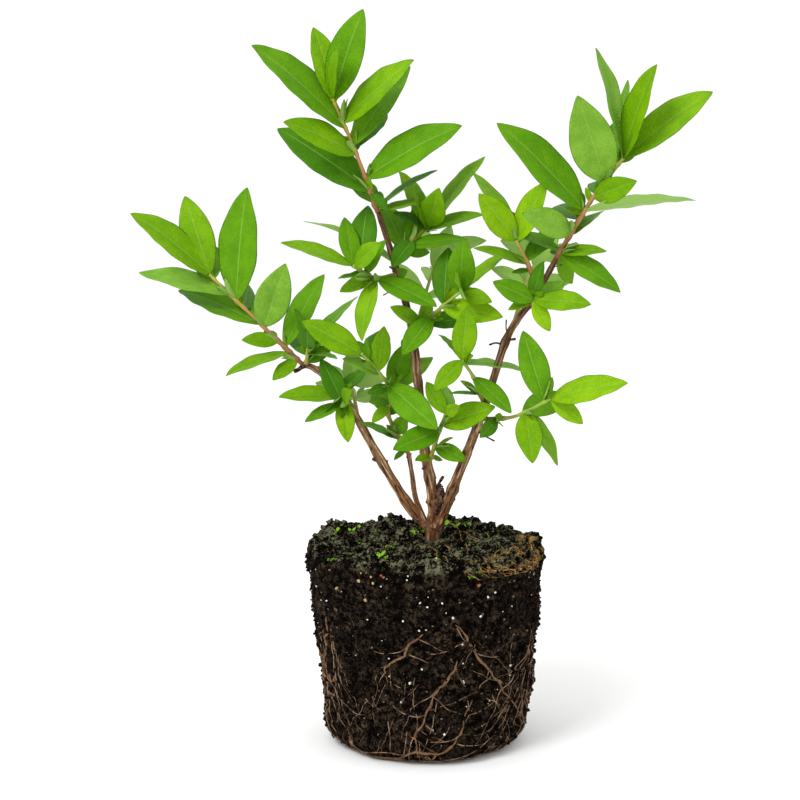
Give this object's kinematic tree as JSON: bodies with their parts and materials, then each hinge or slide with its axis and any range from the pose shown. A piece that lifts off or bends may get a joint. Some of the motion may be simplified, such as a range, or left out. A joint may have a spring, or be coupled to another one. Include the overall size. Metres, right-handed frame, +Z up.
{
  "type": "young haskap bush on its root ball",
  "caption": "Young haskap shrub out of its pot: woody stems with leafy shoots rise from a short trunk on a tapered root ball that stands on its flat underside.",
  "frame": {"origin": "middle of the root ball's flat underside", "axes": "+Z up along the height of the plant, +X to the right and -Y to the front as the plant is usually seen"},
  "size_m": [0.2996, 0.1784, 0.387],
  "materials": {
    "peat": "crumbly moist peat with fine roots",
    "bark": "thin peeling brown bark",
    "foliage": "soft satin green leaves"
  },
  "bodies": {
    "root": {"root_ball": "peat", "trunk": "bark", "stem_middle": "bark", "stem_right": "bark", "stem_left": "bark", "stem_short": "bark", "leader_left": "foliage", "spur_left_knee": "foliage", "spur_left_low": "foliage", "leader_middle": "foliage", "shoot_middle_left": "foliage", "shoot_centre_top": "foliage", "shoot_right_inner": "foliage", "spur_right": "foliage", "leader_right": "foliage", "shoot_centre_right": "foliage", "shoot_centre_low": "foliage", "shoot_inner_left": "foliage", "shoot_low_middle": "foliage", "shoot_right_low": "foliage", "shoot_back_middle": "foliage", "shoot_back_right": "foliage", "shoot_back_left": "foliage"}
  },
  "joints": []
}
